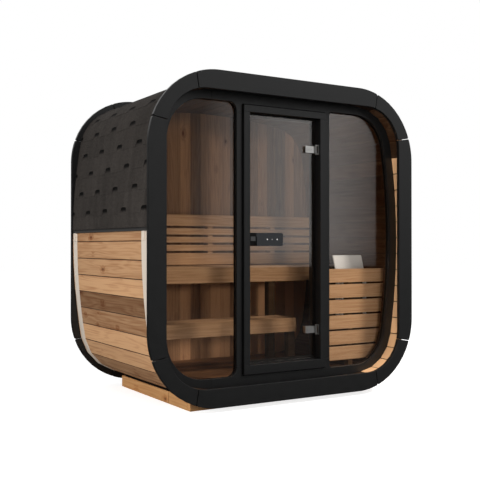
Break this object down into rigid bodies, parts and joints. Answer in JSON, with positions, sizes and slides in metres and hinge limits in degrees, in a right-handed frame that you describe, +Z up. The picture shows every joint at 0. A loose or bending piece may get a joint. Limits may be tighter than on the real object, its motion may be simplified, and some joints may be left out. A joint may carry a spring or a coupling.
{
  "type": "outdoor sauna cabin",
  "caption": "Timber sauna cabin with a rounded-square stave barrel, glazed front wall with a hinged glass door, shingle roofing, benches and a stove behind a guard.",
  "frame": {"origin": "middle of the ground under the cabin", "axes": "+Z up, -Y out of the glazed front with the door, +X to the right of someone facing the door"},
  "size_m": [2.2407, 1.442, 2.283],
  "materials": {
    "painted_black_wood": "spruce boards with opaque black paint, satin",
    "natural_spruce": "planed thermally treated spruce staves, oiled",
    "interior_wood": "planed untreated boards",
    "bitumen_shingle": "bitumen with mineral granules, matte",
    "drip_edge_metal": "folded sheet, dark coating",
    "strap_steel": "stainless band, satin",
    "stainless": "stainless steel, satin",
    "bronze_glass": "toughened bronze-tinted glass",
    "black_plastic": "moulded, satin black"
  },
  "bodies": {
    "cabin": {"shell_left": "natural_spruce", "shell_right": "natural_spruce", "shell_top": "natural_spruce", "shell_bottom": "natural_spruce", "front_trim_top": "painted_black_wood", "front_trim_bottom": "painted_black_wood", "front_trim_left": "painted_black_wood", "front_trim_right": "painted_black_wood", "front_trim_top_left": "painted_black_wood", "front_trim_top_right": "painted_black_wood", "front_trim_bottom_left": "painted_black_wood", "front_trim_bottom_right": "painted_black_wood", "rear_trim_top": "painted_black_wood", "rear_trim_bottom": "painted_black_wood", "rear_trim_left": "painted_black_wood", "rear_trim_right": "painted_black_wood", "rear_trim_top_left": "painted_black_wood", "rear_trim_top_right": "painted_black_wood", "rear_trim_bottom_left": "painted_black_wood", "rear_trim_bottom_right": "painted_black_wood", "shingle_roofing": "bitumen_shingle", "left_drip_edge": "drip_edge_metal", "right_drip_edge": "drip_edge_metal", "front_strap": "strap_steel", "rear_strap": "strap_steel", "front_cradle": "natural_spruce", "rear_cradle": "natural_spruce", "left_base_rail": "natural_spruce", "right_base_rail": "natural_spruce", "front_wall_top": "painted_black_wood", "front_wall_bottom": "painted_black_wood", "front_wall_left": "painted_black_wood", "front_wall_right": "painted_black_wood", "left_mullion": "painted_black_wood", "right_mullion": "painted_black_wood", "left_window_glass": "bronze_glass", "right_window_glass": "bronze_glass", "left_jamb": "painted_black_wood", "right_jamb": "painted_black_wood", "door_head": "painted_black_wood", "door_sill": "painted_black_wood", "lower_hinge_plate": "stainless", "upper_hinge_plate": "stainless", "rear_wall": "interior_wood", "floor": "interior_wood", "upper_bench": "interior_wood", "lower_bench": "interior_wood", "backrest": "interior_wood", "heater_guard": "interior_wood", "heater": "stainless"},
    "door": {"door_glass": "bronze_glass", "door_handle": "black_plastic", "lower_hinge_clamp": "stainless", "upper_hinge_clamp": "stainless"}
  },
  "joints": [
    {"name": "door_hinge", "type": "hinge", "parent": "cabin", "child": "door", "pos_m": [0.2877, -0.595, 1.15675], "axis": [0, 0, 1], "range_deg": [0, 110]}
  ]
}
